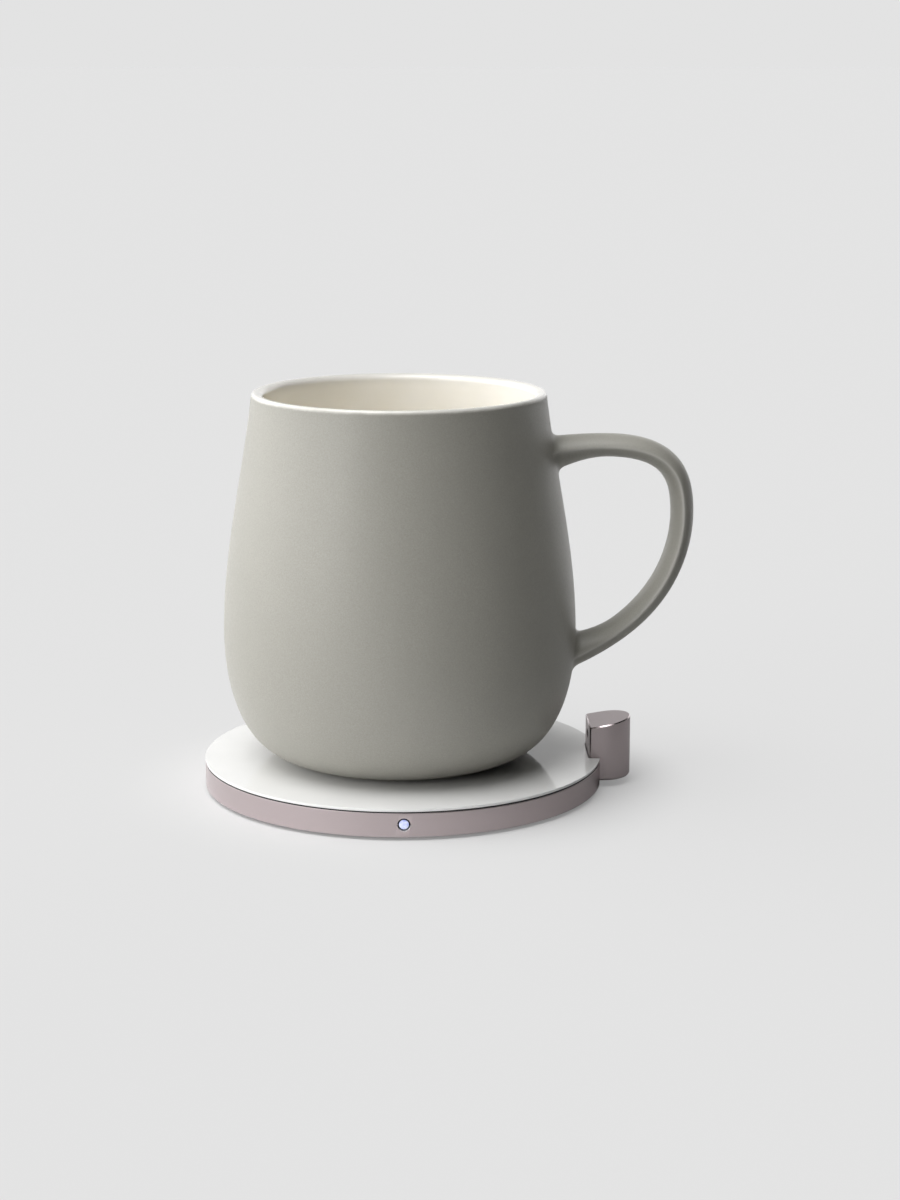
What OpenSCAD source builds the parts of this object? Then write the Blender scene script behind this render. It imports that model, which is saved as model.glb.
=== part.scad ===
// Self-heating mug on a round warming pad, with a sensor post at the pad's edge.
// Millimetres. +Z is up, the origin is the centre of the pad's underside on the table.
// The mug's handle points along +X and the pad's button faces -Y.

/* [Mug] */
// Height of the mug from foot to lip
mug_h = 96.7; // [85:0.1:120]
// Widest outer diameter, at the belly
belly_d = 92.6; // [86:0.2:100]
// Height of the belly above the foot
belly_z = 33.3; // [28:0.1:42]
// Outer diameter at the lip
rim_d = 76.6; // [70:0.1:86]
// Outer diameter of the foot ring
foot_d = 54; // [44:0.2:58]
// Height of the foot ring
foot_h = 0.5; // [0.3:0.1:1.5]
// Wall thickness at the belly
mug_wall = 3.6; // [2.8:0.1:5]
// Thickness of the rounded lip
lip_t = 3.2; // [2:0.1:4]
// Thickness of the mug's floor, foot to inside
floor_t = 5; // [4:0.1:8]
// Width of the foot ring's standing face
foot_ring_w = 3.8; // [2.5:0.1:6]
// Depth of the recess under the floor
recess_depth = 1.2; // [1:0.1:2]
// Place of the mug on the pad, along X from the pad's middle
mug_x = -0.7; // [-2:0.1:2]

/* [Handle] */
// Distance from the mug's axis to the middle of the grip
handle_reach = 73.9; // [68:0.1:84]
// Height of the upper root on the mug
handle_top_z = 81; // [74:0.1:83]
// Height of the lower root on the mug
handle_low_z = 29; // [24:0.1:36]
// Height of the outermost point of the grip
handle_bulge_z = 64.3; // [60:0.1:74]
// Thickness of the grip in its plane
handle_t = 6; // [5:0.1:9]
// Breadth of the grip across its plane
handle_w = 11; // [8:0.2:15]

/* [Heating disc] */
// Thickness of the disc bonded under the mug
disc_t = 0.9; // [0.5:0.1:0.9]

/* [Pad] */
// Outer diameter of the pad
pad_d = 105; // [101:0.5:116]
// Height of the metal rim
rim_h = 6.2; // [6:0.1:9]
// Thickness of the rim's wall
rim_wall = 2; // [1.6:0.1:2.4]
// Height of the rim above the table
table_gap = 0.8; // [0.6:0.1:2]
// Thickness of the glass
glass_t = 0.7; // [0.6:0.1:2]
// Rounding of the glass's upper edge
glass_edge = 0.4; // [0.2:0.05:0.5]
// Thickness of the gasket under the glass
gasket_t = 0.35; // [0.3:0.05:1]
// How far the gasket lies back from the rim's edge
gasket_setback = 0.6; // [0.3:0.1:1.5]
// Thickness of the bottom cover
cover_t = 1.2; // [1:0.1:1.5]
// Diameter of the non-slip pad under the cover
grip_pad_d = 92; // [80:1:95]

/* [Button] */
// Diameter of the lit button
button_d = 2.5; // [2:0.1:3]
// Gap around the button in its hole
button_gap = 0.4; // [0.3:0.05:0.5]
// Height of the button above the rim's lower edge
button_up = 3.3; // [3:0.1:3.6]
// How far the button can be pressed
button_travel = 0.45; // [0.2:0.05:0.6]

/* [Power inlet] */
// Outer width of the inlet's shell
inlet_w = 8.94; // [7:0.02:10]
// Outer height of the inlet's shell
inlet_h = 3.26; // [2.4:0.02:3.4]
// Height of the inlet's middle above the rim's lower edge
inlet_up = 3.2; // [3.1:0.1:3.3]

/* [Sensor post] */
// Width of the post along its flat face
post_w = 15; // [14.4:0.2:20]
// Depth of the post, flat face to round back
post_d = 11.3; // [10:0.1:14]
// Height of the post above the table at the flat face
post_h = 16.2; // [14.4:0.1:20]
// Slope of the post's top, down towards the mug, in degrees
post_slope = 9.5; // [0:0.5:14]
// How far the flat face sinks into the pad's edge
post_sink = 3.3; // [1:0.1:3.6]
// Turn of the post about the pad's middle, from the handle's side, in degrees
post_turn = 0; // [0:0.5:20]
// Rounding of the post's upright corners
post_corner = 0.9; // [0.5:0.1:2.5]
// Height of the post's lower end above the table
post_foot = 1.7; // [0.3:0.1:2.2]
// Wall thickness of the post
post_wall = 1.4; // [1:0.1:1.8]
// Width of the window in the flat face
window_w = 4.2; // [3:0.1:6]
// Height of the window
window_h = 2; // [1.4:0.1:2.6]
// Distance of the window's middle below the top of the flat face
window_drop = 3.4; // [2.9:0.1:4]

/* [Coil] */
// Inner radius of the winding
coil_r0 = 9; // [7:0.5:12]
// Step from turn to turn
coil_pitch = 1.5; // [1.4:0.05:2]
// Width of the wound strand
coil_strand = 1; // [0.6:0.05:1]
// Number of turns
coil_turns = 12; // [6:1:12]
// Height of the winding
coil_t = 1.1; // [0.6:0.1:1.2]

/* [Hidden] */
$fn = 96;

// Clearances: a close fit, a loose fit, round the post, and the overlap of joined shapes
fit = 0.1;
slip = 0.2;
post_gap = 0.25;
cut = 0.02;

// Heights in the pad, from the table up
pad_r = pad_d / 2;
inner_r = pad_r - rim_wall;
rim_z0 = table_gap;
rim_z1 = rim_z0 + rim_h;
glass_z0 = rim_z1 + gasket_t;
glass_z1 = glass_z0 + glass_t;
cover_z1 = rim_z0 + cover_t;
grip_sink = 0.4;
board_standoff = 0.7;
board_t = 0.8;
board_z0 = cover_z1 + board_standoff;
board_z1 = board_z0 + board_t;

// Heating stack under the glass, from the glass down
coil_gap = 0.4;
coil_z0 = glass_z0 - coil_gap - coil_t;
coil_r1 = coil_r0 + coil_turns * coil_pitch + coil_strand / 2;
coil_steps = 24;
ferrite_t = 0.8;
ferrite_margin = 0.5;
ferrite_z0 = coil_z0 - ferrite_t;
ferrite_r = coil_r1 + ferrite_margin;
carrier_t = 0.6;
carrier_margin = 2;
carrier_z0 = ferrite_z0 - carrier_t;
carrier_r = ferrite_r + carrier_margin;
carrier_leg_r = 1.5;
carrier_leg_in = 2;
hub_gap = 2.5;
hub_r = coil_r0 - coil_strand / 2 - hub_gap;
bead_r = 2;
bead_t = 0.6;

// Rim shelf, screw bosses and screws
shelf_w = 4;
shelf_t = 1;
shelf_r = inner_r - shelf_w;
shelf_z0 = rim_z1 - shelf_t;
rim_chamfer = 0.3;
boss_r = 2.3;
boss_in = 6.5;
boss_ring_r = inner_r - boss_in;
boss_rib_w = 3;
boss_turns = [45 : 90 : 315];
boss_height = shelf_z0 - cover_z1 + cut;
screw_r = 0.7;
screw_head_r = 1.3;
screw_head_t = 0.6;
screw_length = 3;

// Control board and the standoffs under it
board_edge_gap = 3.9;
board_boss_gap = 0.4;
board_r = inner_r - board_edge_gap;
standoff_r = 1.5;
standoff_out = 3;
standoff_ring_r = carrier_r + standoff_out;

// Sensor post
post_x = pad_r - post_sink;
post_round = post_w / 2;
post_front_wall = 2;
post_back_x = post_x + post_front_wall;
post_tall = post_h + post_d;
least_corner = 0.3;
chord_wall = 2.4;
chord_x = post_x - chord_wall;
chord_board_gap = 0.6;
post_screw_out = 4.6;
post_screw_z = rim_z0 + rim_h / 2;
post_screw_bite = 1;
window_z = post_h - window_drop;
window_lip = 1;
window_lip_t = 0.6;
window_inset = 0.1;
sensor_t = 2.5;
sensor_r = 1.5;
sensor_u0 = post_front_wall + window_lip_t + slip;
sensor_board_t = 0.8;
sensor_board_up = 0.5;
sensor_board_u = sensor_u0 + sensor_t;
sensor_board_back = sensor_board_u + sensor_board_t;
sensor_board_z0 = rim_z1 + sensor_board_up;
flex_w = 4;
flex_t = 0.2;
flex_slot_w = flex_w + 1.2;
flex_slot_h = flex_t + 0.8;
flex_up = 1.2;
flex_z = board_z1 + flex_up;
flex_foot = 2.5;
flex_reach = 1.6;
flex_tail = 1.5;
plug_t = 1.5;

// Button and its switch
button_r = button_d / 2;
button_hole_r = button_r + button_gap;
button_z = rim_z0 + button_up;
collar_rim = 0.4;
collar_r = button_hole_r + collar_rim;
collar_t = 0.8;
collar_gap = 0.35;
collar_y = -inner_r + collar_gap;
pin_r = 0.6;
pin_length = 1.4;
pin_y = collar_y + collar_t + pin_length;
click_gap = 0.05;
plunger_y = pin_y + button_travel + click_gap;
plunger_root = 1;
switch_in = 0.3;
switch_y = -board_r + switch_in;
switch_size = [4.4, 3, 1.9];
pocket_side = 0.6;
pocket_over = 0.4;
pocket_under = 0.5;
pocket_back = 0.05;
pocket_w = 2 * (collar_r + pocket_side);
pocket_low = button_z - collar_r - pocket_under;
pocket_high = button_z + collar_r + pocket_over;
led_size = [1.6, 0.8, 0.7];
led_gap = 0.5;
led_in = 0.2;

// Power inlet
inlet_z = rim_z0 + inlet_up;
inlet_wall = 0.3;
inlet_depth = 7.3;
inlet_recess = 0.2;
inlet_gap = 0.3;
inlet_y1 = pad_r - inlet_recess;
inlet_y0 = inlet_y1 - inlet_depth;
inlet_back_t = 0.6;
inlet_tab = [1.4, 0.8, 0.3];
inlet_tab_in = 0.3;
tongue_t = 0.7;
tongue_length = 4.6;
tongue_side_gap = 0.85;

// Parts on the board, on a ring between the carrier and the screw bosses
part_ring_out = 0.5;
part_ring_r = (carrier_r + boss_ring_r) / 2 + part_ring_out;
chip_size = [8, 8, 1.2];
chip_turn = 160;
transistor_size = [5, 6, 1.4];
transistor_turns = [200, 213, 245, 300];
capacitor_size = [5.5, 7.5, 2.8];
capacitor_turns = [57, 71, 109, 123];

// Mug
mug_z0 = glass_z1;
belly_r = belly_d / 2;
rim_r = rim_d / 2;
foot_r = foot_d / 2;
lip_r = lip_t / 2;
lip_z = mug_h - lip_r;
recess_r = foot_r - foot_ring_w;
disc_gap = 0.6;
disc_r = recess_r - disc_gap;
inside_r = belly_r - mug_wall;
mouth_r = rim_r - lip_t;
floor_flat_r = 20;
curve_steps = 18;
lip_steps = 8;

// Pulls of the mug's wall curves, each the distance of a control point from its end
heel_in = 1.3;
heel_rise = 1;
belly_pull = 7.2;
shoulder_pull = 21.4;
neck_pull = 20.2;
neck_flare = 2.45;
floor_corner_in = 1.1;
floor_corner_rise = 0.4;
inside_pull = 6.5;

// Point on a curve with four control points
function on_curve(p, t) =
    pow(1 - t, 3) * p[0] + 3 * pow(1 - t, 2) * t * p[1] + 3 * (1 - t) * t * t * p[2] + pow(t, 3) * p[3];

// Upper half of a wall, from the belly to the mouth
function upper_wall(r_belly, r_mouth) = [
    [r_belly, belly_z],
    [r_belly, belly_z + shoulder_pull],
    [r_mouth + neck_flare, lip_z - neck_pull],
    [r_mouth, lip_z]
];

outer_low = [
    [foot_r, foot_h],
    [belly_r - heel_in, foot_h + heel_rise],
    [belly_r, belly_z - belly_pull],
    [belly_r, belly_z]
];
inner_low = [
    [floor_flat_r, floor_t],
    [inside_r - floor_corner_in, floor_t + floor_corner_rise],
    [inside_r, belly_z - inside_pull],
    [inside_r, belly_z]
];
outer_points = concat(
    [for (i = [0 : curve_steps]) on_curve(outer_low, i / curve_steps)],
    [for (i = [1 : curve_steps]) on_curve(upper_wall(belly_r, rim_r), i / curve_steps)]
);
lip_points = [
    for (i = [1 : lip_steps - 1])
        [rim_r - lip_r + lip_r * cos(180 * i / lip_steps), lip_z + lip_r * sin(180 * i / lip_steps)]
];
inner_points = concat(
    [for (i = [0 : curve_steps]) on_curve(upper_wall(inside_r, mouth_r), 1 - i / curve_steps)],
    [for (i = [1 : curve_steps]) on_curve(inner_low, 1 - i / curve_steps)]
);

// Outer radius of the mug at a height above its foot
function mug_r(z) = lookup(z, [for (p = outer_points) [p[1], p[0]]]);

// Handle, swept along two curves in the XZ plane
root_sink = 3;
root_flare = 1.1;
root_flare_out = 0.15;
root_zone = 0.11;
root_spread = 0.3;
handle_ridge = 1.7;
handle_steps = 44;
handle_sides = 16;
heading_step = 0.004;
top_rise = 5;
top_in = 5.3;
bulge_up = 13.5;
bulge_down = 5.7;
low_in = 1.7;
low_rise = 7.8;
low_dip = 3;
handle_up = [
    [mug_r(handle_top_z) - root_sink, handle_top_z],
    [handle_reach - top_in, handle_top_z + top_rise],
    [handle_reach, handle_bulge_z + bulge_up],
    [handle_reach, handle_bulge_z]
];
handle_down = [
    [handle_reach, handle_bulge_z],
    [handle_reach, handle_bulge_z - bulge_down],
    [handle_reach - low_in, handle_low_z + low_rise],
    [mug_r(handle_low_z) - root_sink, handle_low_z - low_dip]
];

function handle_mid(s) = s < 0.5 ? on_curve(handle_up, 2 * s) : on_curve(handle_down, 2 * s - 1);
function heading(s) =
    let (d = handle_mid(min(1, s + heading_step)) - handle_mid(max(0, s - heading_step))) d / norm(d);
function near_root(s) = pow(max(0, 1 - min(s, 1 - s) / root_zone), 2);
function signed_power(x, e) = sign(x) * pow(abs(x), e);

// One ring of the handle's skin, at a share of its length
function handle_ring(s) =
    let (
        m = handle_mid(s),
        h = heading(s),
        a_in = handle_t / 2 * (1 + root_flare * near_root(s)),
        a_out = handle_t / 2 * (1 + root_flare_out * near_root(s)),
        b = handle_w / 2 * (1 + root_spread * near_root(s))
    )
    [
        for (j = [0 : handle_sides - 1])
            let (
                turn = 360 * j / handle_sides,
                out = (cos(turn) > 0 ? a_out : a_in) * signed_power(cos(turn), 2 / handle_ridge),
                side = b * signed_power(sin(turn), 2 / handle_ridge)
            )
            [m[0] - h[1] * out, side, m[1] + h[0] * out]
    ];

// Edge of the wound strand at a winding angle in degrees
function strand_edge(turn, offset) =
    (coil_r0 + coil_pitch * turn / 360 + offset) * [cos(turn), sin(turn)];
coil_ticks = coil_turns * coil_steps;
strand_outline = concat(
    [for (i = [0 : coil_ticks]) strand_edge(360 * i / coil_steps, coil_strand / 2)],
    [for (i = [coil_ticks : -1 : 0]) strand_edge(360 * i / coil_steps, -coil_strand / 2)]
);
strand_gap = min([
    for (i = [0 : coil_steps])
        norm(strand_edge(360 * i / coil_steps + 360, -coil_strand / 2)
            - strand_edge(360 * i / coil_steps, coil_strand / 2))
]);
echo(least_gap_between_coil_turns = strand_gap);

// Cylinder along Y from y0 to y1
module bar_y(y0, y1, r) {
    translate([0, y0, 0]) rotate([-90, 0, 0]) cylinder(h = y1 - y0, r = r);
}

// Cylinder along X from x0 to x1
module bar_x(x0, x1, r) {
    translate([x0, 0, 0]) rotate([0, 90, 0]) cylinder(h = x1 - x0, r = r);
}

// Slot outline with round ends
module slot_2d(w, h) {
    square([w - h, h], center = true);
    for (side = [-1, 1]) translate([side * (w - h) / 2, 0]) circle(d = h);
}

// Slot-shaped bar along Y
module slot_bar_y(y0, y1, w, h) {
    translate([0, y1, 0]) rotate([90, 0, 0]) linear_extrude(y1 - y0) slot_2d(w, h);
}

// Slot-shaped bar along X, its width along Y
module slot_bar_x(x0, x1, w, h) {
    translate([x0, 0, 0]) rotate([90, 0, 90]) linear_extrude(x1 - x0) slot_2d(w, h);
}

// Round plate cut straight where it meets the wall behind the post
module chord_plate(r, x_end, z0, z1) {
    translate([0, 0, z0]) linear_extrude(z1 - z0) intersection() {
        circle(r = r);
        rotate(post_turn) translate([-2 * r, -2 * r]) square([2 * r + x_end, 4 * r]);
    }
}

// Outline of the post, flat face at x = 0, grown outwards by a gap
module post_2d(grow) {
    half = post_round + grow;
    corner = max(post_corner + grow, least_corner);
    middle = post_d - post_round;
    intersection() {
        union() {
            translate([middle, 0]) circle(r = half);
            translate([-grow, -half]) square([middle + grow, 2 * half]);
        }
        union() {
            translate([corner - grow, -half]) square([2 * post_d, 2 * half]);
            translate([-grow, corner - half]) square([2 * post_d, 2 * (half - corner)]);
            for (side = [-1, 1]) translate([corner - grow, side * (half - corner)]) circle(r = corner);
        }
    }
}

// The post's outline as an upright block
module post_block(grow, z0, z1) {
    rotate(post_turn) translate([post_x, 0, z0]) linear_extrude(z1 - z0) post_2d(grow);
}

// Everything above the post's sloping top, set down by a depth
module above_post_top(depth) {
    rotate(post_turn) translate([post_x, 0, post_h - depth]) rotate([0, -post_slope, 0])
        translate([-post_tall, -post_tall, 0]) cube(2 * post_tall);
}

// Block that covers the post's flat wall, to a depth behind the flat face
module post_front(depth) {
    rotate(post_turn) translate([post_x - 1, -post_w, 0]) cube([1 + depth, 2 * post_w, post_tall]);
}

// The same thing at both screws of the post
module at_post_screws() {
    rotate(post_turn) for (side = [-1, 1]) translate([0, side * post_screw_out, post_screw_z]) children();
}

// Slot for the flat ribbon through the wall between pad and post
module flex_slot(x0, x1) {
    rotate(post_turn) translate([0, 0, flex_z]) slot_bar_x(x0, x1, flex_slot_w, flex_slot_h);
}

// The same thing at each screw boss
module at_bosses() {
    for (turn = boss_turns) rotate(turn) translate([boss_ring_r, 0, 0]) children();
}

// Recess from below that the non-slip pad sits in
module grip_recess() {
    translate([0, 0, rim_z0 - 1]) cylinder(h = 1 + grip_sink, d = grip_pad_d + 2 * slip);
}

// A box on the board, turned to face outwards
module board_box(turn, size) {
    rotate(turn) translate([part_ring_r - size[0] / 2, -size[1] / 2, board_z1]) cube(size);
}

// Solid of the mug's outer shape
module mug_blank() {
    rotate_extrude() polygon(concat(
        [[0, 0], [foot_r, 0]],
        outer_points,
        lip_points,
        [[mouth_r, lip_z], [0, lip_z]]
    ));
}

module mug_vessel() {
    color([0.6, 0.58, 0.54]) translate([mug_x, 0, mug_z0]) rotate_extrude() polygon(concat(
        [[recess_r, 0], [foot_r, 0]],
        outer_points,
        lip_points,
        inner_points,
        [[0, floor_t], [0, recess_depth], [recess_r, recess_depth]]
    ));
}

module mug_handle() {
    rings = [for (i = [0 : handle_steps]) handle_ring(i / handle_steps)];
    points = [for (ring = rings) each ring];
    last = handle_steps * handle_sides;
    skin = [
        for (i = [0 : handle_steps - 1], j = [0 : handle_sides - 1])
            let (a = i * handle_sides, k = (j + 1) % handle_sides)
            each [[a + j, a + k, a + handle_sides + j], [a + k, a + handle_sides + k, a + handle_sides + j]]
    ];
    ends = [
        [for (j = [handle_sides - 1 : -1 : 0]) j],
        [for (j = [0 : handle_sides - 1]) last + j]
    ];
    color([0.6, 0.58, 0.54]) translate([mug_x, 0, mug_z0]) difference() {
        polyhedron(points, concat(skin, ends));
        mug_blank();
    }
}

module heating_disc() {
    color([0.72, 0.72, 0.72]) translate([mug_x, 0, mug_z0 + recess_depth - disc_t])
        cylinder(h = disc_t, r = disc_r);
}

module glass_top() {
    edge = [
        for (a = [0 : 15 : 90])
            [pad_r - glass_edge + glass_edge * cos(a), glass_t - glass_edge + glass_edge * sin(a)]
    ];
    color([0.95, 0.95, 0.94]) difference() {
        translate([0, 0, glass_z0]) rotate_extrude() polygon(concat([[0, 0], [pad_r, 0]], edge, [[0, glass_t]]));
        post_block(post_gap, glass_z0 - 1, glass_z1 + 1);
    }
}

module glass_gasket() {
    color([0.08, 0.08, 0.08]) difference() {
        translate([0, 0, rim_z1]) cylinder(h = gasket_t, r = pad_r - gasket_setback);
        translate([0, 0, rim_z1 - 1]) cylinder(h = gasket_t + 2, r = shelf_r);
        post_block(post_gap + gasket_setback, rim_z1 - 1, glass_z1);
    }
}

module rim_frame() {
    profile = [
        [0, 0],
        [pad_r - rim_chamfer, 0],
        [pad_r, rim_chamfer],
        [pad_r, rim_h - rim_chamfer],
        [pad_r - rim_chamfer, rim_h],
        [0, rim_h]
    ];
    color([0.66, 0.61, 0.62]) difference() {
        union() {
            difference() {
                translate([0, 0, rim_z0]) rotate_extrude() polygon(profile);
                chord_plate(inner_r, chord_x, rim_z0 - 1, shelf_z0);
                translate([0, 0, shelf_z0 - 1]) cylinder(h = shelf_t + 2, r = shelf_r);
            }
            intersection() {
                at_bosses() {
                    translate([0, 0, cover_z1]) cylinder(h = boss_height, r = boss_r);
                    translate([0, -boss_rib_w / 2, cover_z1])
                        cube([boss_in + rim_wall / 2, boss_rib_w, boss_height]);
                }
                cylinder(h = glass_z1, r = inner_r + rim_wall / 2);
            }
        }
        grip_recess();
        post_block(post_gap, rim_z0 - 1, rim_z1 + 1);
        at_bosses() translate([0, 0, cover_z1 - 1]) cylinder(h = screw_length + 1, r = screw_r + fit);
        translate([0, 0, button_z]) bar_y(-pad_r - 1, -inner_r + 1, button_hole_r);
        translate([-pocket_w / 2, -inner_r + pocket_back, pocket_low])
            cube([pocket_w, shelf_w + 1, pocket_high - pocket_low]);
        translate([0, 0, inlet_z])
            slot_bar_y(inner_r - 2, pad_r + 1, inlet_w + 2 * inlet_gap, inlet_h + 2 * inlet_gap);
        at_post_screws() bar_x(chord_x - 1, pad_r + 1, screw_r + fit);
        flex_slot(chord_x - 1, pad_r + 1);
    }
}

module bottom_cover() {
    color([0.2, 0.2, 0.21]) difference() {
        union() {
            chord_plate(inner_r - slip, chord_x - slip, rim_z0, cover_z1);
            for (turn = [0 : 90 : 270]) rotate(turn) translate([standoff_ring_r, 0, rim_z0])
                cylinder(h = board_z0 - rim_z0, r = standoff_r);
        }
        grip_recess();
        translate([-pocket_w / 2, -pad_r, pocket_low]) cube([pocket_w, rim_wall + shelf_w + 1, rim_h]);
        at_bosses() {
            translate([0, 0, rim_z0 - 1]) cylinder(h = cover_t + 2, r = screw_r + fit);
            translate([0, 0, rim_z0 - 1]) cylinder(h = 1 + grip_sink + screw_head_t, r = screw_head_r + slip);
        }
    }
}

module non_slip_pad() {
    color([0.16, 0.16, 0.17]) difference() {
        cylinder(h = rim_z0 + grip_sink, d = grip_pad_d);
        post_block(post_gap, -1, rim_z1);
    }
}

module cover_screws() {
    color([0.7, 0.7, 0.72]) at_bosses() translate([0, 0, rim_z0 + grip_sink]) {
        cylinder(h = screw_head_t, r = screw_head_r);
        cylinder(h = cover_t - grip_sink + screw_length - 2 * fit, r = screw_r);
    }
}

module transmitter_coil() {
    color([0.72, 0.42, 0.22]) translate([0, 0, coil_z0]) linear_extrude(coil_t) polygon(strand_outline);
}

module ferrite_shield() {
    color([0.25, 0.25, 0.26]) translate([0, 0, ferrite_z0]) difference() {
        cylinder(h = ferrite_t, r = ferrite_r);
        translate([0, 0, -1]) cylinder(h = ferrite_t + 2, r = hub_r + slip);
    }
}

module coil_carrier() {
    color([0.85, 0.85, 0.82]) {
        translate([0, 0, carrier_z0]) cylinder(h = carrier_t, r = carrier_r);
        translate([0, 0, carrier_z0]) cylinder(h = glass_z0 - bead_t - carrier_z0, r = hub_r);
        for (turn = boss_turns) rotate(turn) translate([carrier_r - carrier_leg_in, 0, board_z1])
            cylinder(h = carrier_z0 - board_z1 + cut, r = carrier_leg_r);
    }
}

module glass_thermistor() {
    color([0.1, 0.25, 0.35]) translate([0, 0, glass_z0 - bead_t]) cylinder(h = bead_t, r = bead_r);
}

module control_board() {
    rib_slot_w = boss_rib_w + 2 * board_boss_gap;
    color([0.1, 0.32, 0.2]) difference() {
        chord_plate(board_r, chord_x - screw_head_t - chord_board_gap, board_z0, board_z1);
        at_bosses() translate([0, 0, board_z0 - 1]) {
            cylinder(h = board_t + 2, r = boss_r + board_boss_gap);
            translate([0, -rib_slot_w / 2, 0]) cube([boss_in, rib_slot_w, board_t + 2]);
        }
        translate([-inlet_w / 2 - fit, inlet_y0 - fit, board_z0 - 1])
            cube([inlet_w + 2 * fit, inlet_depth, board_t + 2]);
    }
}

module controller_chip() {
    color([0.07, 0.07, 0.08]) board_box(chip_turn, chip_size);
}

module power_transistors() {
    color([0.12, 0.12, 0.13]) for (turn = transistor_turns) board_box(turn, transistor_size);
}

module resonance_capacitors() {
    color([0.75, 0.55, 0.2]) for (turn = capacitor_turns) board_box(turn, capacitor_size);
}

module status_led() {
    color([0.9, 0.95, 1]) translate([switch_size[0] / 2 + led_gap, switch_y + led_in, board_z1]) cube(led_size);
}

module button_switch() {
    color([0.15, 0.15, 0.16]) {
        translate([-switch_size[0] / 2, switch_y, board_z1]) cube(switch_size);
        intersection() {
            translate([0, 0, button_z]) bar_y(plunger_y, switch_y + plunger_root, pin_r);
            translate([-pin_r, -pad_r, board_z1]) cube([2 * pin_r, pad_r, rim_h]);
        }
    }
}

module power_button() {
    color([0.85, 0.9, 1]) translate([0, 0, button_z]) {
        bar_y(-pad_r, collar_y + cut, button_r);
        bar_y(collar_y, collar_y + collar_t, collar_r);
        bar_y(collar_y + collar_t - cut, pin_y, pin_r);
    }
}

module usb_socket_shell() {
    color([0.75, 0.75, 0.77]) {
        translate([0, 0, inlet_z]) difference() {
            slot_bar_y(inlet_y0, inlet_y1, inlet_w, inlet_h);
            slot_bar_y(inlet_y0 + inlet_back_t, inlet_y1 + 1, inlet_w - 2 * inlet_wall, inlet_h - 2 * inlet_wall);
        }
        for (side = [0, 1]) mirror([side, 0, 0])
            translate([inlet_w / 2 - inlet_wall, inlet_y0 + inlet_tab_in, board_z1]) cube(inlet_tab);
    }
}

module usb_socket_tongue() {
    tongue_w = inlet_w - 2 * inlet_wall - 2 * tongue_side_gap;
    color([0.1, 0.1, 0.11]) translate([-tongue_w / 2, inlet_y0 + inlet_back_t, inlet_z - tongue_t / 2])
        cube([tongue_w, tongue_length, tongue_t]);
}

module post_shell() {
    color([0.56, 0.51, 0.52]) difference() {
        post_block(0, post_foot, post_tall);
        above_post_top(0);
        difference() {
            post_block(-post_wall, post_foot - 1, post_tall);
            above_post_top(post_wall);
            post_front(post_front_wall);
        }
        rotate(post_turn) translate([0, 0, window_z])
            slot_bar_x(post_x - 1, post_back_x + 1, window_w + 2 * fit, window_h + 2 * fit);
        at_post_screws() bar_x(post_x - 1, post_back_x + 1, screw_r + fit / 2);
        flex_slot(post_x - 1, post_back_x + 1);
    }
}

module sensor_window() {
    color([0.06, 0.04, 0.06]) rotate(post_turn) translate([0, 0, window_z]) {
        slot_bar_x(post_x + window_inset, post_back_x + cut, window_w, window_h);
        slot_bar_x(post_back_x, post_back_x + window_lip_t, window_w + 2 * window_lip, window_h + window_lip);
    }
}

module ir_sensor() {
    color([0.7, 0.68, 0.6]) rotate(post_turn) translate([0, 0, window_z])
        bar_x(post_x + sensor_u0, post_x + sensor_board_u, sensor_r);
}

module sensor_board() {
    half_w = sqrt(pow(post_round - post_wall, 2) - pow(sensor_board_back - post_d + post_round, 2)) - slip;
    color([0.1, 0.32, 0.2]) difference() {
        rotate(post_turn) translate([post_x + sensor_board_u, -half_w, sensor_board_z0])
            cube([sensor_board_t, 2 * half_w, post_tall]);
        above_post_top(post_wall + slip);
    }
}

module sensor_flex() {
    x_board = chord_x - screw_head_t - flex_reach;
    x_post = post_x + sensor_board_back;
    z_top = sensor_board_z0 + flex_tail;
    outline = [
        [x_board - flex_foot, board_z1],
        [x_board + flex_t, board_z1],
        [x_board + flex_t, flex_z - flex_t / 2],
        [x_post + flex_t, flex_z - flex_t / 2],
        [x_post + flex_t, z_top],
        [x_post, z_top],
        [x_post, flex_z + flex_t / 2],
        [x_board, flex_z + flex_t / 2],
        [x_board, board_z1 + flex_t],
        [x_board - flex_foot, board_z1 + flex_t]
    ];
    color([0.75, 0.5, 0.15]) rotate(post_turn) translate([0, flex_w / 2, 0]) rotate([90, 0, 0])
        linear_extrude(flex_w) polygon(outline);
}

module post_base() {
    color([0.2, 0.2, 0.21]) difference() {
        post_block(-post_wall - fit, post_foot, post_foot + plug_t);
        post_front(post_front_wall + fit);
    }
}

module post_screws() {
    color([0.7, 0.7, 0.72]) at_post_screws() {
        bar_x(chord_x - screw_head_t, chord_x, screw_head_r);
        bar_x(chord_x - cut, post_back_x + post_screw_bite, screw_r);
    }
}

mug_vessel();
mug_handle();
heating_disc();
glass_top();
glass_gasket();
rim_frame();
bottom_cover();
non_slip_pad();
cover_screws();
transmitter_coil();
ferrite_shield();
coil_carrier();
glass_thermistor();
control_board();
controller_chip();
power_transistors();
resonance_capacitors();
status_led();
button_switch();
power_button();
usb_socket_shell();
usb_socket_tongue();
post_shell();
sensor_window();
ir_sensor();
sensor_board();
sensor_flex();
post_base();
post_screws();
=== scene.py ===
import math

import bmesh
import bpy
from mathutils import Matrix, Vector


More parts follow.
